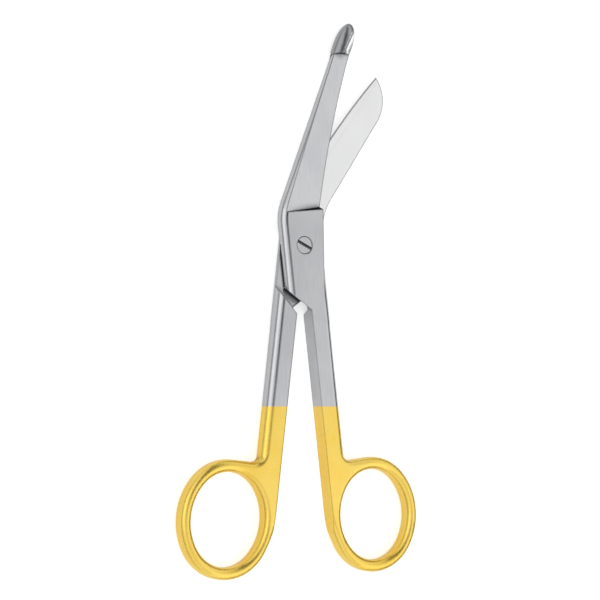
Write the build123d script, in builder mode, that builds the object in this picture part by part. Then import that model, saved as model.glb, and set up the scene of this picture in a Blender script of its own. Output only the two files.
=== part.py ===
from build123d import *
import os
from math import atan2, cos, degrees, hypot, radians, sin, sqrt

# Angled bandage scissors, lying open on a table. The pivot axis is the Z axis, the table is Z = 0 and the
# blades point along +Y. Both halves are drawn in one local frame: closed, with the pivot at the origin, the
# lap plane at z = 0, the handle to the right of the centre line and the half's own outer face at +z.
# All sizes are in millimetres and degrees.

# The forging and the joint between the two halves
thickness = 5.4
open_angle = 14.0
lap_gap = 0.04
handle_gap = 0.3
side_radius = 2.4
edge_break = 0.2

# Joint box round the screw
box_half_width = 7.8
box_top = 7.0
box_front_top = 3.5
shoulder_angle = 40.0
diagonal_reach = 16.1
shoulder_gap = 1.2
shoulder_slant = 1.1

# Shank and finger ring
shank_width = 7.6
shank_top = -14.0
shank_waist = -42.0
plate_bottom = -26.0
ring_y = -90.4
hole_width = 26.3
hole_stretch = 3.6
hole_end_tuck = 0.95
ring_band = 3.9
ring_inner_band = 3.5
ring_turn_radius = 45.0
ring_corner_radius = 3.0
ring_edge_radius = 1.8
shank_edge_radius = 2.6
root_x = 4.0
root_y = -57.0

# Probe blade: direction angles are measured clockwise from +Y
probe_spine_start = (-5.56, 15.31)
probe_spine_angle = 28.3
probe_spine_length = 54.0
heel_flare = 0.9
heel_y = 12.0
probe_edge_mid = (17.7, 40.4)
probe_edge_end = (26.9, 62.6)

# Blunt probe at the end of that blade
bulb_centre = (24.65, 65.25)
bulb_angle = 30.0
bulb_front = 8.0
bulb_back = 12.0
bulb_half_width = 3.35
bulb_half_height = 2.5
bulb_lift = 0.15
bulb_relief = 0.6
ledge_y = 62.0
ledge_run = 0.9
scoop_radius = 2.6
scoop_offset = 2.45
scoop_start = -1.2
scoop_level = 3.0
scoop_rise = 7.0

# Flat blade, in its own local frame, where it leans away from the handle
flat_spine_start = (-9.75, 16.7)
flat_spine_end = (-25.2, 46.9)
flat_tip = (-22.75, 61.5)
flat_edge_mid = (-9.6, 41.3)
flat_heel = (4.5, 14.0)

# Grinding of the blades
grind_y = 12.2
grind_lean = 22.0
grind_top = 2.6
edge_land = 0.4

# Pivot screw
head_radius = 2.85
head_height = 1.5
neck_radius = 2.1
running_clearance = 0.05
thread_clearance = 0.03
seat_gap = 0.03
slot_width = 1.0
slot_depth = 0.7
slot_angle = -25.0
head_edge = 0.2

half_thickness = thickness / 2
inner_wall = handle_gap / 2
face_z = lap_gap / 2
probe_heel = (box_half_width + heel_flare, heel_y)
ring_x = inner_wall + ring_inner_band + hole_width / 2
hole_height = hole_width + hole_stretch
reach = hole_height - ring_y


def outer_side(y):
    """Point at a level on the straight outer side that the box and the shank share."""
    taper = (box_half_width - shank_width) / (box_front_top - shank_waist)
    return (box_half_width - taper * (box_front_top - y), y)


def along(start, angle, length):
    """Point at a length from start, in a direction given clockwise from +Y."""
    turn = radians(angle)
    return (start[0] + length * sin(turn), start[1] + length * cos(turn))


def nearest_edges(face, points):
    """Edges of a level face that pass nearest to the given outline points."""
    level = face.center().Z
    return [face.edges().sort_by_distance(Vector(x, y, level))[0] for x, y, *_ in points]


def shoulder_plane(side):
    """Upright plane through the pivot, with x out towards the shoulder on that side and y up."""
    out_x = side * sin(radians(shoulder_angle))
    out_y = -cos(radians(shoulder_angle))
    return Plane(origin=(0, 0, 0), x_dir=(out_x, out_y, 0), z_dir=(out_y, -out_x, 0))


def recess_profile():
    """Space for the other half's box: up to the lap face and out to a slanted shoulder."""
    crest = diagonal_reach + shoulder_gap
    with BuildSketch(shoulder_plane(1)) as profile:
        Polygon(
            (-reach, face_z),
            (crest - shoulder_slant, face_z),
            (crest, -half_thickness),
            (crest, -thickness),
            (-reach, -thickness),
            align=None,
        )
    return profile.sketch


def diagonal_profile():
    """Metal beyond the box's slanted lower edge, which swings up to the other half's shoulder."""
    with BuildSketch(shoulder_plane(-1)) as profile:
        Polygon(
            (diagonal_reach - shoulder_slant, 0),
            (diagonal_reach, half_thickness),
            (diagonal_reach, thickness),
            (reach, thickness),
            (reach, 0),
            align=None,
        )
    return profile.sketch


def grind_profile(edge_x, spine_x):
    """Wedge that grinding takes off a blade: deep at the cutting edge, with a leaning end towards the box."""
    lean = radians(grind_lean)
    slope = (grind_top - edge_land) / (edge_x - spine_x)
    run = (thickness - edge_land) / slope
    land = edge_land / cos(lean)
    top = thickness / cos(lean)
    end_wall = Plane(origin=(0, grind_y, 0), x_dir=(1, 0, 0), z_dir=(0, -cos(lean), -sin(lean)))
    with BuildSketch(end_wall) as profile:
        Polygon(
            (edge_x - run, top),
            (edge_x, land),
            (edge_x + reach, land),
            (edge_x + reach, top),
            align=None,
        )
    return profile.sketch


# Finger hole: an oval of four tangent arcs, two at the ends and two wider ones at the sides
hole_end_radius = hole_width / 2 - hole_end_tuck
end_rise = hole_height / 2 - hole_end_radius
side_inset = (end_rise**2 - hole_end_tuck**2) / (2 * hole_end_tuck)
hole_side_radius = hole_width / 2 + side_inset
side_half_arc = degrees(atan2(end_rise, side_inset))
with BuildSketch() as finger_hole:
    with BuildLine():
        for side, first in ((-1, -side_half_arc), (1, 180 - side_half_arc)):
            CenterArc((ring_x + side * side_inset, ring_y), hole_side_radius, first, 2 * side_half_arc)
            end_arc = 180 - 2 * side_half_arc
            CenterArc((ring_x, ring_y - side * end_rise), hole_end_radius, first + 2 * side_half_arc, end_arc)
    make_face()

# The ring's band follows the hole. Its blank overhangs the inner side by the edge radius and turns in below,
# so that the rounding runs out where the ring leaves the flat inner side.
blank_side = inner_wall - ring_edge_radius
end_radius = hole_end_radius + ring_band
turn_x = blank_side + ring_turn_radius
turn_rise = sqrt((ring_turn_radius - end_radius) ** 2 - (turn_x - ring_x) ** 2)
turn_y = ring_y - end_rise + turn_rise
turn_arc = degrees(atan2(turn_rise, turn_x - ring_x))
ring_top = ring_y + end_rise + end_radius

# Shank, the same on both halves: flat along the inner side, half-round along the outer side
with BuildPart() as shank:
    with BuildSketch():
        Polygon(
            (inner_wall, shank_top),
            (inner_wall, turn_y),
            (shank_width, turn_y),
            (shank_width, shank_waist),
            outer_side(shank_top),
            align=None,
        )
    extrude(amount=half_thickness, both=True)
    level_edges = shank.faces().filter_by(Axis.Z).edges()
    fillet(level_edges.filter_by(lambda e: e.bounding_box().min.X > root_x), shank_edge_radius)

# Handle: the ring's root runs up into the shank
with BuildPart() as handle:
    with BuildSketch():
        with BuildLine():
            inner_line = Line((blank_side, root_y), (blank_side, turn_y))
            CenterArc((turn_x, turn_y), ring_turn_radius, 180, turn_arc)
            bottom_arc = 180 - side_half_arc - turn_arc
            CenterArc((ring_x, ring_y - end_rise), end_radius, 180 + turn_arc, bottom_arc)
            side_arc_radius = hole_side_radius + ring_band
            CenterArc((ring_x - side_inset, ring_y), side_arc_radius, -side_half_arc, 2 * side_half_arc)
            top_arc = CenterArc((ring_x, ring_y + end_rise), end_radius, side_half_arc, 90 - side_half_arc)
            root_line = FilletPolyline(
                top_arc @ 1,
                (shank_width, ring_top),
                (root_x, root_y),
                radius=ring_corner_radius,
            )
            Line(root_line @ 1, inner_line @ 0)
        make_face()
    extrude(amount=half_thickness, both=True)
    for rim in (handle.faces().sort_by(Axis.Z)[-1], handle.faces().sort_by(Axis.Z)[0]):
        fillet(rim.edges().sort_by(Axis.Y)[:-1], ring_edge_radius)
    add(shank.part)
    extrude(finger_hole.sketch, amount=half_thickness, both=True, mode=Mode.SUBTRACT)
    hole_rims = [wire.edges() for face in handle.faces().filter_by(Axis.Z) for wire in face.inner_wires()]
    fillet([edge for rim in hole_rims for edge in rim], ring_edge_radius)
    with Locations((inner_wall, 0, 0)):
        Box(
            reach,
            2 * reach,
            2 * thickness,
            align=(Align.MAX, Align.CENTER, Align.CENTER),
            mode=Mode.SUBTRACT,
        )
    extrude(recess_profile(), amount=reach, both=True, mode=Mode.SUBTRACT)

# Sides of the joint box, the same on both halves
box_back = [(-box_half_width, plate_bottom), (-box_half_width, box_top)]
box_front = [outer_side(box_front_top), outer_side(plate_bottom)]
box_sides = [(-box_half_width, 0), outer_side(0)]

# Bulb of the probe tip, about its widest section with the tip along +Y: a flattened egg with a scoop sunk
# into the cutting side by a ball-ended cutter, which runs out towards the tip
with BuildPart() as probe_egg:
    with BuildSketch():
        with BuildLine():
            egg_back = EllipticalCenterArc((0, 0), bulb_half_width, bulb_back, 270, arc_size=90)
            egg_front = EllipticalCenterArc((0, 0), bulb_half_width, bulb_front, 0, arc_size=90)
            Line(egg_front @ 1, egg_back @ 0)
        make_face()
    revolve(axis=Axis.Y)
    scale(by=(1, 1, bulb_half_height / bulb_half_width))
    with Locations(Location((scoop_offset, scoop_start, scoop_level), (scoop_rise - 90, 0, 0))):
        Sphere(scoop_radius, mode=Mode.SUBTRACT)
        Cylinder(
            scoop_radius,
            reach,
            align=(Align.CENTER, Align.CENTER, Align.MIN),
            mode=Mode.SUBTRACT,
        )

# The same bulb in the half's frame, cut away behind the ledge where the grinding wheel stopped
with BuildPart() as probe_bulb:
    with Locations(Location((*bulb_centre, bulb_lift), (0, 0, -bulb_angle))):
        add(probe_egg.part)
    with BuildSketch(Plane.YZ):
        Polygon(
            (0, edge_land),
            (ledge_y, edge_land),
            (ledge_y + ledge_run, thickness),
            (0, thickness),
            align=None,
        )
    extrude(amount=reach, mode=Mode.SUBTRACT)

# Probe half: box and blade above the lap plane, ground down to the cutting edge, with the bulb and the handle
probe_run = Vector(probe_edge_end[0] - probe_heel[0], probe_edge_end[1] - probe_heel[1]).normalized()
probe_spine_run = along((0, 0), probe_spine_angle, 1)
probe_spine_end = along(probe_spine_start, probe_spine_angle, probe_spine_length)
with BuildPart() as probe_forging:
    with BuildSketch(Plane.XY.offset(face_z)):
        with BuildLine():
            Polyline(box_front[1], *box_back)
            probe_bend = Spline(box_back[1], probe_spine_start, tangents=[(0, 1), probe_spine_run])
            probe_spine = Line(probe_spine_start, probe_spine_end)
            Line(probe_spine_end, probe_edge_end)
            ThreePointArc(probe_edge_end, probe_edge_mid, probe_heel)
            Polyline(probe_heel, *box_front)
        make_face()
    extrude(amount=half_thickness - face_z)
    outer_face = probe_forging.faces().sort_by(Axis.Z)[-1]
    rounded = nearest_edges(outer_face, box_sides + [probe_bend @ 0.5, probe_spine @ 0.5])
    fillet(rounded, side_radius)
    extrude(diagonal_profile(), amount=reach, both=True, mode=Mode.SUBTRACT)
    extrude(
        grind_profile(probe_heel[0], probe_spine_start[0]),
        amount=reach,
        dir=probe_run,
        mode=Mode.SUBTRACT,
    )
    add(probe_bulb.part)
    with Locations((0, 0, face_z)):
        Cylinder(
            hypot(*flat_tip) + bulb_relief,
            thickness,
            align=(Align.CENTER, Align.CENTER, Align.MAX),
            mode=Mode.SUBTRACT,
        )
    add(handle.part)
    with Locations((0, 0, half_thickness)):
        CounterBoreHole(
            neck_radius + running_clearance,
            head_radius + running_clearance,
            head_height + seat_gap,
        )

# Flat half: the same box and handle with a plain flat blade
flat_run = Vector(flat_tip[0] - flat_heel[0], flat_tip[1] - flat_heel[1]).normalized()
flat_spine_run = Vector(flat_spine_end[0] - flat_spine_start[0], flat_spine_end[1] - flat_spine_start[1])
with BuildPart() as flat_forging:
    with BuildSketch(Plane.XY.offset(face_z)):
        with BuildLine():
            Polyline(box_front[1], *box_back)
            flat_bend = Spline(box_back[1], flat_spine_start, tangents=[(0, 1), flat_spine_run.normalized()])
            flat_spine = Line(flat_spine_start, flat_spine_end)
            flat_end = TangentArc(flat_spine_end, flat_tip, tangent=flat_spine_run)
            ThreePointArc(flat_tip, flat_edge_mid, flat_heel)
            Polyline(flat_heel, *box_front)
        make_face()
    extrude(amount=half_thickness - face_z)
    outer_face = flat_forging.faces().sort_by(Axis.Z)[-1]
    blade_back = [flat_bend @ 0.5, flat_spine @ 0.5, flat_end @ 0.5]
    fillet(nearest_edges(outer_face, box_sides + blade_back), side_radius)
    lap_face = flat_forging.faces().sort_by(Axis.Z)[0]
    fillet(nearest_edges(lap_face, blade_back), edge_break)
    extrude(diagonal_profile(), amount=reach, both=True, mode=Mode.SUBTRACT)
    extrude(
        grind_profile(flat_heel[0], flat_spine_start[0]),
        amount=reach,
        dir=flat_run,
        mode=Mode.SUBTRACT,
    )
    add(handle.part)
    with Locations((0, 0, half_thickness)):
        Hole(neck_radius + thread_clearance)

# Both halves opened by the same angle: the probe half keeps its outer face up, the flat half is turned over
turn = radians(open_angle / 2)
probe_place = Plane(origin=(0, 0, half_thickness), x_dir=(cos(turn), sin(turn), 0), z_dir=(0, 0, 1))
flat_place = Plane(origin=(0, 0, half_thickness), x_dir=(-cos(turn), sin(turn), 0), z_dir=(0, 0, -1))

with BuildPart() as probe_half:
    with Locations(probe_place.location):
        add(probe_forging.part)
probe_half.part.label = "probe_half"

with BuildPart() as flat_half:
    with Locations(flat_place.location):
        add(flat_forging.part)
flat_half.part.label = "flat_half"

# Pivot screw: flush slotted head in the probe half, threaded stem in the flat half
with BuildPart() as pivot_screw:
    with BuildSketch():
        Circle(neck_radius)
    extrude(amount=thickness)
    with BuildSketch(Plane.XY.offset(thickness)):
        Circle(head_radius)
    extrude(amount=-head_height)
    chamfer(pivot_screw.faces().sort_by(Axis.Z)[-1].edges(), head_edge)
    with BuildSketch(Plane.XY.offset(thickness)):
        Rectangle(reach, slot_width, rotation=slot_angle)
    extrude(amount=-slot_depth, mode=Mode.SUBTRACT)
pivot_screw.part.label = "pivot_screw"

os.makedirs("parts", exist_ok=True)
export_step(probe_half.part, "parts/probe_half.step")
export_step(flat_half.part, "parts/flat_half.step")
export_step(pivot_screw.part, "parts/pivot_screw.step")
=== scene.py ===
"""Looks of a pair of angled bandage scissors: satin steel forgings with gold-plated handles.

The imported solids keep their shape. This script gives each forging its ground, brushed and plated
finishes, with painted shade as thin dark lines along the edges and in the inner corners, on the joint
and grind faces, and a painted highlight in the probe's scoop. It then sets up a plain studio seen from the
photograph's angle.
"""

import logging
import math
from dataclasses import dataclass
from enum import Enum
from typing import Any

import bpy
import numpy as np
from mathutils import Matrix, Vector


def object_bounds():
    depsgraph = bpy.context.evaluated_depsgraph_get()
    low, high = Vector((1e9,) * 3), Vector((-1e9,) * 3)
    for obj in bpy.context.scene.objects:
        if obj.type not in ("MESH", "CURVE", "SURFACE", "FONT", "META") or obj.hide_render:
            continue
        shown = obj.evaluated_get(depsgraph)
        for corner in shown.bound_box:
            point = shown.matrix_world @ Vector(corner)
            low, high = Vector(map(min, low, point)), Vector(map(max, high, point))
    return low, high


logging.basicConfig(level=logging.INFO, format="%(name)s: %(message)s")
LOG = logging.getLogger("bandage_scissors")

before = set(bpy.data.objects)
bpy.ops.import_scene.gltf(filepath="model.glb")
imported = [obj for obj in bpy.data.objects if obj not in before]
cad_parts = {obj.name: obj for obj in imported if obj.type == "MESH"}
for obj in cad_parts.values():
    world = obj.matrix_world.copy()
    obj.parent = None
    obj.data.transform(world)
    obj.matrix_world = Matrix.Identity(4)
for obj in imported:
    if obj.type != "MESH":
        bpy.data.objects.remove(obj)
CAD_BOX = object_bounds()

MM = 0.001

Socket = bpy.types.NodeSocket
Triple = tuple[float, float, float]
Colour = tuple[float, float, float]
Span = tuple[float, float]
Number = Socket | float
Tint = Socket | Colour
Arrow = Socket | Triple


def grey(level: float) -> Colour:
    """Make a neutral colour of a given level."""
    return (level, level, level)


def arc(span: Span) -> Span:
    """Turn a span of degrees into radians."""
    return (math.radians(span[0]), math.radians(span[1]))


WHITE = grey(1.0)
BLACK = grey(0.0)
NO_OFFSET: Triple = (0.0, 0.0, 0.0)

# A mix node has its own sockets for each kind of value, and these are the ones for numbers and for colours
MIX_NUMBER_INPUTS = (0, 2, 3)
MIX_NUMBER_OUTPUT = 0
MIX_COLOUR_INPUTS = (6, 7)
MIX_COLOUR_OUTPUT = 2

# The halves slide on each other at half the height of the stock, and a blade starts where the box ends
LAP_LEVEL = (CAD_BOX[0][2] + CAD_BOX[1][2]) / 2
BLADE_START = 9.0 * MM


class Grain(Enum):
    """Direction of brushing, as scales of a streak pattern per metre along X, Y and Z."""

    LENGTHWISE = (5200.0, 130.0, 5200.0)
    CROSSWISE = (160.0, 4800.0, 4800.0)


class Blend(Enum):
    """How a second colour acts on a first: laid over it, or darkening it as a stain does."""

    LAY = "MIX"
    STAIN = "MULTIPLY"


@dataclass(frozen=True)
class BrushMarks:
    """How a brushed surface varies: fine streaks along the brushing, and slow clouds over them."""

    streak_detail: float = 3.0
    streak_roughness: float = 0.65
    cloud_scale: Triple = (90.0, 70.0, 90.0)
    cloud_share: float = 0.45
    tone_span: Span = (0.36, 0.64)
    gloss_span: Span = (0.3, 0.7)


@dataclass(frozen=True)
class MetalFinish:
    """One metal finish: its two tones, its gloss and the marks that the brushing left."""

    colour: Colour
    shade: Colour
    roughness: float
    roughness_spread: float
    grain: Grain
    grain_depth: float
    marks: BrushMarks = BrushMarks()


SATIN_STEEL = MetalFinish(
    colour=(0.595, 0.600, 0.614),
    shade=(0.525, 0.531, 0.547),
    roughness=0.17,
    roughness_spread=0.06,
    grain=Grain.LENGTHWISE,
    grain_depth=0.03,
)
GROUND_STEEL = MetalFinish(
    colour=(0.930, 0.931, 0.935),
    shade=(0.880, 0.882, 0.888),
    roughness=0.20,
    roughness_spread=0.06,
    grain=Grain.CROSSWISE,
    grain_depth=0.02,
)
GOLD_PLATE = MetalFinish(
    colour=(1.000, 0.730, 0.170),
    shade=(0.960, 0.660, 0.115),
    roughness=0.29,
    roughness_spread=0.08,
    grain=Grain.LENGTHWISE,
    grain_depth=0.02,
)


class ShaderSheet:
    """The nodes of a material or of the room, with short calls for the few kinds that they need."""

    def __init__(self, owner: bpy.types.Material | bpy.types.World) -> None:
        """Start the nodes.

        Args:
            owner: New material or world that takes the nodes.
        """
        owner.use_nodes = True
        self.owner = owner
        self.nodes = owner.node_tree.nodes
        self.links = owner.node_tree.links

    @property
    def surface(self) -> bpy.types.Node:
        """The shader of a material."""
        return self.nodes["Principled BSDF"]

    def add(self, kind: str, **settings: Any) -> bpy.types.Node:
        """Add a node and set its properties.

        Args:
            kind: Name of the node type.
            **settings: Properties of the node.

        Returns:
            The new node.
        """
        node = self.nodes.new(kind)
        for key, value in settings.items():
            setattr(node, key, value)
        return node

    def feed(self, value: Socket | float | tuple[float, ...], socket: Socket) -> None:
        """Link a socket to an input, or set the input where the value is a constant.

        Args:
            value: Socket or constant.
            socket: Input that takes it.
        """
        if isinstance(value, Socket):
            self.links.new(value, socket)
        else:
            socket.default_value = value

    def math(self, operation: str, first: Number, second: Number = 0.0) -> Socket:
        """Work out one sum on numbers.

        Args:
            operation: Name of the sum, such as MULTIPLY.
            first: Socket or number.
            second: Socket or number.

        Returns:
            The socket that holds the result.
        """
        node = self.add("ShaderNodeMath", operation=operation)
        self.feed(first, node.inputs[0])
        self.feed(second, node.inputs[1])
        return node.outputs[0]

    def above(self, value: Number, limit: float) -> Socket:
        """Where a number is above a limit."""
        return self.math("GREATER_THAN", value, limit)

    def below(self, value: Number, limit: float) -> Socket:
        """Where a number is below a limit."""
        return self.math("LESS_THAN", value, limit)

    def size(self, value: Number) -> Socket:
        """A number without its sign."""
        return self.math("ABSOLUTE", value)

    def both(self, *masks: Number) -> Number:
        """Where all of some masks hold, which is their product.

        Args:
            *masks: Sockets or numbers, each from 0 to 1.

        Returns:
            The socket that holds the product.
        """
        result = masks[0]
        for mask in masks[1:]:
            result = self.math("MULTIPLY", result, mask)
        return result

    def ramp(
        self,
        value: Socket,
        low: float,
        high: float,
        out_low: float = 0.0,
        out_high: float = 1.0,
    ) -> Socket:
        """Carry a number from one range to another, smoothly and held at both ends.

        Args:
            value: Socket that holds the number.
            low: Number that gives out_low.
            high: Number that gives out_high.
            out_low: Result at the low end.
            out_high: Result at the high end.

        Returns:
            The socket that holds the result.
        """
        node = self.add("ShaderNodeMapRange", interpolation_type="SMOOTHSTEP", clamp=True)
        for socket, number in zip(node.inputs, (value, low, high, out_low, out_high)):
            self.feed(number, socket)
        return node.outputs[0]

    def mix(self, share: Number, first: Tint, second: Tint, blend: Blend = Blend.LAY) -> Socket:
        """Mix two colours.

        Args:
            share: Share of the second colour, from 0 to 1.
            first: Socket or colour.
            second: Socket or colour.
            blend: How the second colour acts on the first.

        Returns:
            The socket that holds the colour.
        """
        node = self.add("ShaderNodeMix", data_type="RGBA", blend_type=blend.value)
        self.feed(share, node.inputs["Factor"])
        for index, value in zip(MIX_COLOUR_INPUTS, (first, second)):
            self.feed((*value, 1.0) if isinstance(value, tuple) else value, node.inputs[index])
        return node.outputs[MIX_COLOUR_OUTPUT]

    def blend(self, share: Number, first: Number, second: Number) -> Socket:
        """Mix two numbers.

        Args:
            share: Share of the second number, from 0 to 1.
            first: Socket or number.
            second: Socket or number.

        Returns:
            The socket that holds the number.
        """
        node = self.add("ShaderNodeMix", data_type="FLOAT")
        for index, value in zip(MIX_NUMBER_INPUTS, (share, first, second)):
            self.feed(value, node.inputs[index])
        return node.outputs[MIX_NUMBER_OUTPUT]

    def vector(self, operation: str, first: Arrow, second: Arrow = NO_OFFSET) -> Socket:
        """Work out one sum on vectors.

        Args:
            operation: Name of the sum, such as SUBTRACT.
            first: Socket or vector.
            second: Socket or vector.

        Returns:
            The socket that holds the result, a number where the sum gives one.
        """
        node = self.add("ShaderNodeVectorMath", operation=operation)
        self.feed(first, node.inputs[0])
        self.feed(second, node.inputs[1])
        return node.outputs["Value" if operation in ("DOT_PRODUCT", "LENGTH") else "Vector"]

    def split(self, vector: Socket) -> dict[str, Socket]:
        """Take a vector apart.

        Args:
            vector: Socket that holds the vector.

        Returns:
            The sockets of its parts, by the names X, Y and Z.
        """
        node = self.add("ShaderNodeSeparateXYZ")
        self.feed(vector, node.inputs[0])
        return {name: node.outputs[name] for name in "XYZ"}

    def place(self) -> Socket:
        """Position on the piece, in metres of the shared frame."""
        return self.add("ShaderNodeTexCoord").outputs["Object"]

    def facing(self) -> Socket:
        """Way that the surface faces, in the shared frame."""
        return self.add("ShaderNodeTexCoord").outputs["Normal"]

    def noise(self, scale: Triple, detail: float = 2.0, roughness: float = 0.5) -> Socket:
        """Cloudy pattern with its own scale along each axis.

        Args:
            scale: Features per metre along X, Y and Z.
            detail: Number of finer layers.
            roughness: Strength of the finer layers.

        Returns:
            The socket that holds the pattern, near 0.5 on average.
        """
        mapping = self.add("ShaderNodeMapping")
        self.feed(self.place(), mapping.inputs["Vector"])
        mapping.inputs["Scale"].default_value = scale
        node = self.add("ShaderNodeTexNoise")
        self.feed(mapping.outputs[0], node.inputs["Vector"])
        node.inputs["Scale"].default_value = 1.0
        node.inputs["Detail"].default_value = detail
        node.inputs["Roughness"].default_value = roughness
        return node.outputs["Fac"]


class SurfaceSpot:
    """A spot on a piece: where it is, in metres, and the way that the surface faces there."""

    def __init__(self, sheet: ShaderSheet) -> None:
        """Read both from the piece's own coordinates.

        Args:
            sheet: Material that takes the nodes.
        """
        self.sheet = sheet
        self.place = sheet.split(sheet.place())
        self.facing = sheet.split(sheet.facing())


@dataclass(frozen=True)
class EdgeWearAndShade:
    """Scratches from finishing, with painted shade as dark lines along edges and in inner corners.

    Near an edge, a share is how far the rounded surface's normal agrees with the true one, 1 being
    fully. A corner is told by how open the surface is within the reach, 1 being fully.
    """

    radius: float = 0.50 * MM
    samples: int = 6
    flat_share: float = 0.992
    edge_share: float = 0.92
    # Painted shade along edges: a dark line that stands in for the dark reflections at rounded edges.
    painted_edge_shade: float = 0.95
    painted_edge_shade_tone: Colour = grey(0.14)
    corner_reach: float = 2.4 * MM
    corner_deep: float = 0.62
    corner_open: float = 0.98
    # Painted shade in inner corners, which darkens them by how closed the surface is around them.
    painted_corner_shade: float = 0.95
    painted_corner_shade_tone: Colour = grey(0.10)
    scratch_height: float = 0.08 * MM
    scratch_strength: float = 0.6


@dataclass
class SurfaceRecipe:
    """Colour, roughness and relief of one finish, ready to be mixed with another on the same piece."""

    sheet: ShaderSheet
    colour: Tint
    roughness: Number
    relief: Number
    # Shares of the painted corner shade and of the painted edge shade.
    corner_shade_share: Number = 1.0
    edge_shade_share: Number = 1.0

    @classmethod
    def of(cls, sheet: ShaderSheet, finish: MetalFinish) -> "SurfaceRecipe":
        """Build the nodes of a finish.

        The streak pattern is noise stretched along the brushing. It shifts the colour between the
        finish's two tones and the roughness about its mean, and gives the relief of the scratches.

        Args:
            sheet: Material that takes the nodes.
            finish: The finish.

        Returns:
            The recipe.
        """
        marks = finish.marks
        streak = sheet.noise(finish.grain.value, marks.streak_detail, marks.streak_roughness)
        cloud = sheet.noise(marks.cloud_scale)
        tone = sheet.ramp(sheet.blend(marks.cloud_share, streak, cloud), *marks.tone_span)
        smoothest = finish.roughness - finish.roughness_spread / 2
        roughest = finish.roughness + finish.roughness_spread / 2
        return cls(
            sheet=sheet,
            colour=sheet.mix(tone, finish.shade, finish.colour),
            roughness=sheet.ramp(streak, *marks.gloss_span, smoothest, roughest),
            relief=sheet.math("MULTIPLY", streak, finish.grain_depth),
        )

    def over(self, share: Number, other: "SurfaceRecipe") -> "SurfaceRecipe":
        """Lay another finish over this one.

        Args:
            share: Where the other finish lies, from 0 to 1.
            other: The other finish.

        Returns:
            The mixed recipe.
        """
        return SurfaceRecipe(
            sheet=self.sheet,
            colour=self.sheet.mix(share, self.colour, other.colour),
            roughness=self.sheet.blend(share, self.roughness, other.roughness),
            relief=self.sheet.blend(share, self.relief, other.relief),
            corner_shade_share=self.corner_shade_share,
            edge_shade_share=self.edge_shade_share,
        )

    def cover(
        self,
        share: Number,
        tone: Colour,
        roughness: float | None = None,
        blend: Blend = Blend.LAY,
    ) -> None:
        """Give a part of the surface its own tone, and its own roughness where it has one.

        Args:
            share: Where the part lies, from 0 to 1.
            tone: Colour of the part.
            roughness: Roughness of the part, if it differs.
            blend: How the tone acts on the colour below.
        """
        self.colour = self.sheet.mix(share, self.colour, tone, blend)
        if roughness is not None:
            self.roughness = self.sheet.blend(share, self.roughness, roughness)

    def paint(self, wear_and_shade: EdgeWearAndShade) -> bpy.types.Material:
        """Join the recipe to the metal shader, with scratches, and painted shade as dark lines along its
        edges and in inner corners.

        Args:
            wear_and_shade: Scratches, and the painted shade at edges and corners.

        Returns:
            The finished material.
        """
        sheet = self.sheet
        rounded = sheet.add("ShaderNodeBevel", samples=wear_and_shade.samples)
        rounded.inputs["Radius"].default_value = wear_and_shade.radius
        true_normal = sheet.add("ShaderNodeNewGeometry").outputs["Normal"]
        alike = sheet.vector("DOT_PRODUCT", rounded.outputs[0], true_normal)
        edge = sheet.ramp(alike, wear_and_shade.edge_share, wear_and_shade.flat_share, wear_and_shade.painted_edge_shade, 0.0)
        # Corners are found by ambient occlusion within the reach, and darkened as painted shade.
        occlusion = sheet.add("ShaderNodeAmbientOcclusion", samples=wear_and_shade.samples, only_local=True)
        occlusion.inputs["Distance"].default_value = wear_and_shade.corner_reach
        openness = occlusion.outputs["AO"]
        corner = sheet.ramp(openness, wear_and_shade.corner_deep, wear_and_shade.corner_open, wear_and_shade.painted_corner_shade, 0.0)
        scratches = sheet.add("ShaderNodeBump")
        scratches.inputs["Distance"].default_value = wear_and_shade.scratch_height
        scratches.inputs["Strength"].default_value = wear_and_shade.scratch_strength
        sheet.feed(self.relief, scratches.inputs["Height"])
        sheet.feed(rounded.outputs[0], scratches.inputs["Normal"])
        edge_shaded = sheet.mix(sheet.both(edge, self.edge_shade_share), self.colour, wear_and_shade.painted_edge_shade_tone, Blend.STAIN)
        corner_shaded = sheet.mix(sheet.both(corner, self.corner_shade_share), edge_shaded, wear_and_shade.painted_corner_shade_tone, Blend.STAIN)
        sheet.surface.inputs["Metallic"].default_value = 1.0
        sheet.feed(corner_shaded, sheet.surface.inputs["Base Color"])
        sheet.feed(self.roughness, sheet.surface.inputs["Roughness"])
        sheet.feed(scratches.outputs[0], sheet.surface.inputs["Normal"])
        return sheet.owner


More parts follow.
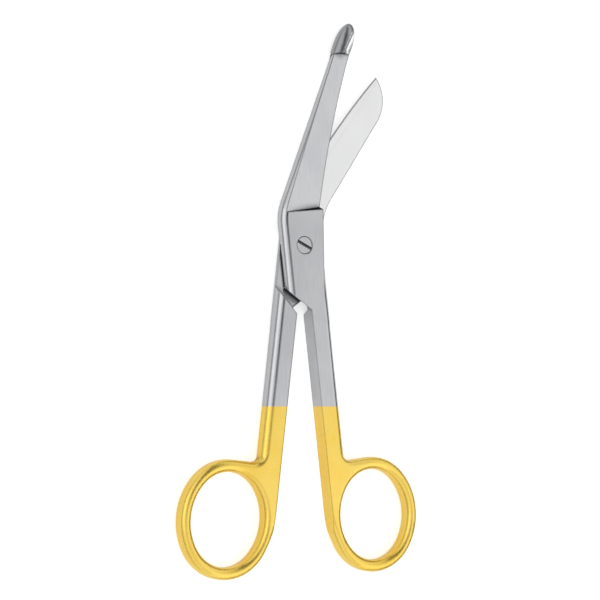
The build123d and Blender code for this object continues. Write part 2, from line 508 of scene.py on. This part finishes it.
@dataclass(frozen=True)
class BladeGrind:
    """Grinding of a blade: its lap face, narrow honed edges and the shoulder where the grind starts, the
    last two darkened by painted shade.

    A facing is one part of the surface's normal, and a tilt is the size of its Z part, 0 for a wall.
    """

    start: float = BLADE_START
    lap_band: float = 0.12 * MM
    honed_side: float = -1.0
    honed_tilt: float = 0.9
    honed_level: float = 2.4 * MM
    # Painted shade on the honed faces: a dark tone that stands in for the dark reflection at the blade's
    # edges.
    honed_painted_shade: Colour = (0.22, 0.22, 0.23)
    shoulder_facing: Span = (0.75, 0.85)
    shoulder_fade: Span = (-5.0 * MM, 0.5 * MM)
    # Painted shade on the grind's shoulder, near black.
    shoulder_painted_shade: Colour = grey(0.03)
    shoulder_roughness: float = 0.9

    def blade(self, spot: SurfaceSpot) -> Socket:
        """Where the blade is."""
        return spot.sheet.above(spot.place["Y"], self.start)

    def lap_face(self, spot: SurfaceSpot) -> Socket:
        """Mask the face that slides past the other blade, a thin band about the lap level.

        Args:
            spot: Spot on the forging.

        Returns:
            The socket that holds the mask.
        """
        sheet = spot.sheet
        height = sheet.size(sheet.math("SUBTRACT", spot.place["Z"], LAP_LEVEL))
        return sheet.both(self.blade(spot), sheet.below(height, self.lap_band))

    def honed(self, spot: SurfaceSpot) -> Socket:
        """Mask the narrow slanting or upright faces of the blade, from just under the lap upwards.

        Args:
            spot: Spot on the forging.

        Returns:
            The socket that holds the mask.
        """
        sheet = spot.sheet
        return sheet.both(
            self.blade(spot),
            sheet.above(spot.place["Z"], self.honed_level),
            sheet.above(spot.facing["X"], self.honed_side),
            sheet.below(sheet.size(spot.facing["Z"]), self.honed_tilt),
        )

    def shoulder(self, spot: SurfaceSpot) -> Socket:
        """Mask the end wall of the grind, which faces the tip, fading towards the left.

        Args:
            spot: Spot on the forging.

        Returns:
            The socket that holds the mask.
        """
        sheet = spot.sheet
        return sheet.both(
            self.blade(spot),
            sheet.ramp(spot.facing["Y"], *self.shoulder_facing),
            sheet.ramp(spot.place["X"], *self.shoulder_fade),
        )


@dataclass(frozen=True)
class LapJoint:
    """Painted shade on faces of the lap joint: a seam low on the box's walls, and the overhanging
    shoulder.
    """

    start: float = -30.0 * MM
    end: float = BLADE_START
    seam_start: float = -13.8 * MM
    seam_end: float = 0.0
    seam_top: float = 3.3 * MM
    seam_tilt: float = 0.25
    overhang_facing: Span = (-0.60, -0.50)
    overhang_fade: Span = (3.2 * MM, 5.0 * MM)
    overhang_top_share: float = 0.2
    # Near-black painted shade on the seam and the overhang.
    tone: Colour = grey(0.04)
    roughness: float = 0.5

    def seam(self, spot: SurfaceSpot) -> Socket:
        """Mask the foot of the box's upright walls, where they meet the other half.

        Args:
            spot: Spot on the forging.

        Returns:
            The socket that holds the mask.
        """
        sheet = spot.sheet
        return sheet.both(
            sheet.below(sheet.size(spot.facing["Z"]), self.seam_tilt),
            sheet.above(spot.place["Y"], self.seam_start),
            sheet.below(spot.place["Y"], self.seam_end),
            sheet.above(spot.place["Z"], LAP_LEVEL),
            sheet.below(spot.place["Z"], self.seam_top),
        )

    def overhang(self, spot: SurfaceSpot) -> Socket:
        """Mask the box's walls that face the handles, fading upwards.

        Args:
            spot: Spot on the forging.

        Returns:
            The socket that holds the mask.
        """
        sheet = spot.sheet
        return sheet.both(
            sheet.below(spot.place["Y"], self.end),
            sheet.above(spot.place["Y"], self.start),
            sheet.ramp(spot.facing["Y"], *self.overhang_facing, 1.0, 0.0),
            sheet.ramp(spot.place["Z"], *self.overhang_fade, 1.0, self.overhang_top_share),
        )

    def painted_shade(self, spot: SurfaceSpot) -> Socket:
        """Where either the seam or the overhang is."""
        return spot.sheet.math("MAXIMUM", self.seam(spot), self.overhang(spot))


@dataclass(frozen=True)
class ProbeScoop:
    """Groove that a ball-ended cutter left in the probe: a round-ended channel about a slanting line."""

    start: Triple = (18.30 * MM, 65.71 * MM, 5.85 * MM)
    heading: Triple = (0.388, 0.914, 0.122)
    radius: float = 2.6 * MM
    slack: float = 0.05 * MM

    def mask(self, sheet: ShaderSheet) -> Socket:
        """Mask the surface of the groove.

        A point is in the groove when its distance from the cutter's line, or from the line's start
        for a point behind it, is no more than the cutter's radius and a little slack.

        Args:
            sheet: Material that takes the nodes.

        Returns:
            The socket that holds the mask.
        """
        offset = sheet.vector("SUBTRACT", sheet.place(), self.start)
        run = sheet.math("MAXIMUM", sheet.vector("DOT_PRODUCT", offset, self.heading), 0.0)
        foot = sheet.add("ShaderNodeVectorMath", operation="SCALE")
        foot.inputs[0].default_value = self.heading
        sheet.feed(run, foot.inputs["Scale"])
        distance = sheet.vector("LENGTH", sheet.vector("SUBTRACT", offset, foot.outputs[0]))
        return sheet.below(distance, self.radius + self.slack)


@dataclass(frozen=True)
class ProbeTip:
    """Blunt tip of the probe blade: tumbled all over, with a painted highlight in its scoop."""

    start: float = 64.0 * MM
    tone: Colour = (0.72, 0.72, 0.73)
    roughness: float = 0.26
    scoop: ProbeScoop = ProbeScoop()
    # Painted highlight in the scoop.
    scoop_painted_highlight: Colour = (0.95, 0.95, 0.96)

    def dress(self, recipe: SurfaceRecipe, spot: SurfaceSpot) -> None:
        """Give the tip its finish and the painted highlight in its scoop, and keep the painted corner
        shade off it.

        Args:
            recipe: Finish of the whole forging, which takes the tip's.
            spot: Spot on the forging.
        """
        sheet = spot.sheet
        tip = sheet.above(spot.place["Y"], self.start)
        recipe.cover(tip, self.tone, self.roughness, Blend.STAIN)
        # Painted highlight in the scoop.
        recipe.cover(sheet.both(tip, self.scoop.mask(sheet)), self.scoop_painted_highlight)
        # No painted corner shade on the tip.
        recipe.corner_shade_share = sheet.math("SUBTRACT", 1.0, tip)


@dataclass(frozen=True)
class HandlePlating:
    """Gold on a handle, from a sharp line across the shank down to the end of the ring."""

    start: float = -52.2 * MM
    blur: float = 0.12 * MM

    def mask(self, spot: SurfaceSpot) -> Socket:
        """Where the gold is."""
        return spot.sheet.ramp(spot.place["Y"], self.start - self.blur, self.start + self.blur, 1.0, 0.0)


@dataclass
class SteelPiece:
    """A piece of the scissors, which keeps its solid's shape and gets its finish here."""

    node: str
    slot: str = "forged_steel"
    wear_and_shade: EdgeWearAndShade = EdgeWearAndShade()

    def build(self) -> bpy.types.Object:
        """Take the piece from the frame.

        Returns:
            The piece's object.
        """
        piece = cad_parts[self.node]
        return piece

    def finish(self, sheet: ShaderSheet) -> SurfaceRecipe:
        """Give the satin steel that every piece starts from."""
        return SurfaceRecipe.of(sheet, SATIN_STEEL)

    def dress(self, piece: bpy.types.Object) -> None:
        """Put the finish on the piece in place of the plain one.

        Args:
            piece: The piece's object.
        """
        sheet = ShaderSheet(bpy.data.materials.new(f"{self.node}_metal"))
        material = self.finish(sheet).paint(self.wear_and_shade)
        piece.data.materials.clear()
        piece.data.materials.append(material)


@dataclass
class ForgedHalf(SteelPiece):
    """One forging: blade, joint box, shank and finger ring in a single piece of steel."""

    grind: BladeGrind = BladeGrind()
    joint: LapJoint = LapJoint()
    probe: ProbeTip | None = None
    plating: HandlePlating = HandlePlating()
    shank_edge_shade: float = 0.5
    blade_edge_shade: float = 1.0

    def finish(self, sheet: ShaderSheet) -> SurfaceRecipe:
        """Mix satin steel, the ground blade, painted shade on the honed faces, grind shoulder and joint
        faces, the probe tip and the gold.

        The finishes are told apart by the place on the forging and by the way that the surface faces.

        Args:
            sheet: Material that takes the nodes.

        Returns:
            The mixed finish.
        """
        spot = SurfaceSpot(sheet)
        grind = self.grind
        recipe = super().finish(sheet)
        recipe = recipe.over(grind.lap_face(spot), SurfaceRecipe.of(sheet, GROUND_STEEL))
        # Painted shade on the honed faces.
        recipe.cover(grind.honed(spot), grind.honed_painted_shade)
        # Painted shade on the grind's shoulder, fading towards the left.
        recipe.cover(grind.shoulder(spot), grind.shoulder_painted_shade, grind.shoulder_roughness)
        # Painted shade on the lap joint's seam and overhang.
        recipe.cover(self.joint.painted_shade(spot), self.joint.tone, self.joint.roughness)
        if self.probe:
            self.probe.dress(recipe, spot)
        # Strength of the painted edge shade: its own on the shank, full on the blade.
        recipe.edge_shade_share = sheet.blend(grind.blade(spot), self.shank_edge_shade, self.blade_edge_shade)
        return recipe.over(self.plating.mask(spot), SurfaceRecipe.of(sheet, GOLD_PLATE))


@dataclass
class PivotScrew(SteelPiece):
    """Slotted screw that holds the halves together, in the same satin steel as the box round it."""

    node: str = "pivot_screw"
    slot: str = "screw_steel"
    # No painted edge shade on the screw; the painted corner shade stays.
    wear_and_shade: EdgeWearAndShade = EdgeWearAndShade(radius=0.05 * MM, painted_edge_shade=0.0)


@dataclass(frozen=True)
class SoftBox:
    """Square studio lamp with a diffuser."""

    name: str
    place: Triple
    side: float
    brightness: float

    def build(self, target: Vector) -> bpy.types.Object:
        """Make the lamp and aim it.

        The power in watts is the diffuser's brightness times its area times pi.

        Args:
            target: Point that the lamp faces.

        Returns:
            The lamp's object.
        """
        lamp = bpy.data.lights.new(self.name, "AREA")
        lamp.size = self.side
        lamp.energy = self.brightness * self.side**2 * math.pi
        piece = bpy.data.objects.new(self.name, lamp)
        piece.location = self.place
        piece.rotation_euler = (target - Vector(self.place)).to_track_quat("-Z", "Y").to_euler()
        bpy.context.scene.collection.objects.link(piece)
        return piece


@dataclass(frozen=True)
class PaperFloor:
    """Plain pale paper that the scissors lie on."""

    half_side: float = 1.5
    cells: int = 24
    level: float = -0.05 * MM
    tones: tuple[Colour, Colour] = (grey(0.80), grey(0.84))
    cloud_scale: Triple = (4.0, 4.0, 4.0)
    roughness: float = 0.9
    glow_camera: float = 0.55
    glow_metal: float = 0.22

    def build(self) -> bpy.types.Object:
        """Make the floor as a level square grid just under the scissors.

        Along both sides the points run in equal steps from minus to plus half a side, all at the
        floor's level.

        Returns:
            The floor's object.
        """
        steps = np.linspace(-self.half_side, self.half_side, self.cells + 1)
        x, y = np.meshgrid(steps, steps, indexing="ij")
        points = np.stack((x, y, np.full_like(x, self.level)), axis=-1).reshape(-1, 3)
        row = self.cells + 1
        corner = (np.arange(self.cells)[:, None] * row + np.arange(self.cells)).ravel()
        faces = np.stack((corner, corner + row, corner + row + 1, corner + 1), axis=-1)
        mesh = bpy.data.meshes.new("studio_floor")
        mesh.from_pydata(points.tolist(), [], faces.tolist())
        piece = bpy.data.objects.new("studio_floor", mesh)
        bpy.context.scene.collection.objects.link(piece)
        return piece

    def dress(self, piece: bpy.types.Object) -> None:
        """Give the floor a white that the camera and the metal both see, and that keeps the shadow.

        Args:
            piece: The floor's object.
        """
        sheet = ShaderSheet(bpy.data.materials.new("studio_floor_paper"))
        path = sheet.add("ShaderNodeLightPath").outputs
        mirrored = sheet.math("MAXIMUM", path["Is Glossy Ray"], path["Is Transmission Ray"])
        glow = sheet.math(
            "ADD",
            sheet.math("MULTIPLY", path["Is Camera Ray"], self.glow_camera),
            sheet.math("MULTIPLY", mirrored, self.glow_metal),
        )
        paper = sheet.mix(sheet.noise(self.cloud_scale), *self.tones)
        shader = sheet.surface.inputs
        shader["Roughness"].default_value = self.roughness
        shader["Specular IOR Level"].default_value = 0.0
        shader["Emission Color"].default_value = (*WHITE, 1.0)
        sheet.feed(paper, shader["Base Color"])
        sheet.feed(glow, shader["Emission Strength"])
        piece.data.materials.append(sheet.owner)


@dataclass(frozen=True)
class PanelRoom:
    """Light of the room: long soft panels along the blades, left and right, and a dark gap overhead.

    Angles are in degrees from straight up towards the right, and each panel entry is an angle and a
    brightness. A run is the part of a direction along the blades, negative towards the handles.
    """

    panels: tuple[Span, ...] = (
        (-90.0, 0.55),
        (-78.0, 0.52),
        (-66.0, 0.34),
        (-54.0, 0.92),
        (-8.0, 0.95),
        (30.0, 0.88),
        (52.0, 1.04),
        (60.0, 0.92),
        (70.0, 0.10),
        (90.0, 0.04),
    )
    gap_left: Span = (-7.0, 1.0)
    gap_right: Span = (21.0, 30.0)
    gap_run: Span = (-0.05, 0.10)
    gap_shade: Span = (0.20, 0.92)
    glare_left: Span = (16.0, 28.0)
    glare_right: Span = (44.0, 58.0)
    glare_run: Span = (-0.05, -0.005)
    glare_tone: Colour = grey(1.22)

    def panel_tone(self, sheet: ShaderSheet, angle: Socket) -> Socket:
        """Read the panels' brightness at an angle.

        Half a turn, from level on the left to level on the right, is spread over a scale from 0 to 1.

        Args:
            sheet: World that takes the nodes.
            angle: Socket that holds the angle, in radians.

        Returns:
            The socket that holds the tone.
        """
        half_turn = 180.0
        straight_up = 0.5
        tones = sheet.add("ShaderNodeValToRGB")
        tones.color_ramp.interpolation = "EASE"
        elements = tones.color_ramp.elements
        while len(elements) < len(self.panels):
            elements.new(straight_up)
        for element, (degrees, level) in zip(elements, self.panels):
            element.position = degrees / half_turn + straight_up
            element.color = (*grey(level), 1.0)
        turn = sheet.math("DIVIDE", angle, math.pi)
        sheet.feed(sheet.math("ADD", turn, straight_up), tones.inputs["Fac"])
        return tones.outputs["Color"]

    def build(self) -> None:
        """Light the room by the angle of each direction, which is the arc tangent of x over z.

        The gap between the panels is darkest over the blades and fades towards the handles, where
        the right panel is brighter. The camera itself sees white.
        """
        sheet = ShaderSheet(bpy.data.worlds.new("studio_room"))
        bpy.context.scene.world = sheet.owner
        part = sheet.split(sheet.add("ShaderNodeTexCoord").outputs["Generated"])
        angle = sheet.math("ARCTAN2", part["X"], part["Z"])
        gap = sheet.both(
            sheet.ramp(angle, *arc(self.gap_left)),
            sheet.ramp(angle, *arc(self.gap_right), 1.0, 0.0),
            sheet.ramp(part["Y"], *self.gap_run, *self.gap_shade),
        )
        glare = sheet.both(
            sheet.ramp(angle, *arc(self.glare_left)),
            sheet.ramp(angle, *arc(self.glare_right), 1.0, 0.0),
            sheet.ramp(part["Y"], *self.glare_run, 1.0, 0.0),
        )
        room = sheet.mix(gap, self.panel_tone(sheet, angle), BLACK)
        room = sheet.mix(glare, room, self.glare_tone)
        seen = sheet.mix(sheet.add("ShaderNodeLightPath").outputs["Is Camera Ray"], room, WHITE)
        sheet.feed(seen, sheet.nodes["Background"].inputs["Color"])


@dataclass(frozen=True)
class PhotoCamera:
    """Camera at the photograph's angle: left of straight above and a little towards the handles."""

    target: Triple = (-0.14 * MM, -17.7 * MM, 2.7 * MM)
    side_angle: float = 32.0
    handle_lean: float = 0.061
    distance: float = 0.58
    picture_pixels: int = 600
    pixels_per_mm: float = 3.08
    sensor: float = 36.0

    def build(self) -> bpy.types.Object:
        """Make the camera, with +Y up in the picture.

        Returns:
            The camera's object.
        """
        data = bpy.data.cameras.new("photo_camera")
        data.sensor_width = self.sensor
        data.lens = self.sensor * self.distance / (self.picture_pixels / self.pixels_per_mm * MM)
        tilt = math.radians(self.side_angle)
        back = Vector((-math.sin(tilt), -self.handle_lean, math.cos(tilt))).normalized()
        right = Vector((0.0, 1.0, 0.0)).cross(back).normalized()
        up = back.cross(right)
        turn = Matrix((right, up, back)).transposed().to_4x4()
        piece = bpy.data.objects.new("photo_camera", data)
        piece.matrix_world = Matrix.Translation(Vector(self.target) + back * self.distance) @ turn
        bpy.context.scene.collection.objects.link(piece)
        bpy.context.scene.camera = piece
        return piece


@dataclass(frozen=True)
class Studio:
    """Plain pale floor, soft light and the camera."""

    floor: PaperFloor = PaperFloor()
    room: PanelRoom = PanelRoom()
    camera: PhotoCamera = PhotoCamera()
    key: SoftBox = SoftBox("key_softbox", place=(-0.62, 0.10, 0.62), side=0.6, brightness=0.45)

    def build(self) -> None:
        """Set up the whole studio."""
        bpy.context.scene.view_settings.view_transform = "Standard"
        floor = self.floor.build()
        self.floor.dress(floor)
        self.room.build()
        self.key.build(Vector(self.camera.target))
        self.camera.build()


def main() -> None:
    """Build and dress the scissors piece by piece, then set up the studio."""
    # The flat half's painted edge shade reaches wider, and is weaker on its shank.
    flat_half = ForgedHalf("flat_half", wear_and_shade=EdgeWearAndShade(radius=0.75 * MM), shank_edge_shade=0.25)
    # The probe half's painted shade on its honed faces covers only its near-upright walls that face right.
    probe_half = ForgedHalf(
        "probe_half",
        grind=BladeGrind(honed_side=0.0, honed_tilt=0.25),
        probe=ProbeTip(),
    )
    for part in (flat_half, probe_half, PivotScrew()):
        piece = part.build()
        part.dress(piece)
        LOG.info("dressed %s", piece.name)
    Studio().build()


if __name__ == "__main__":
    main()
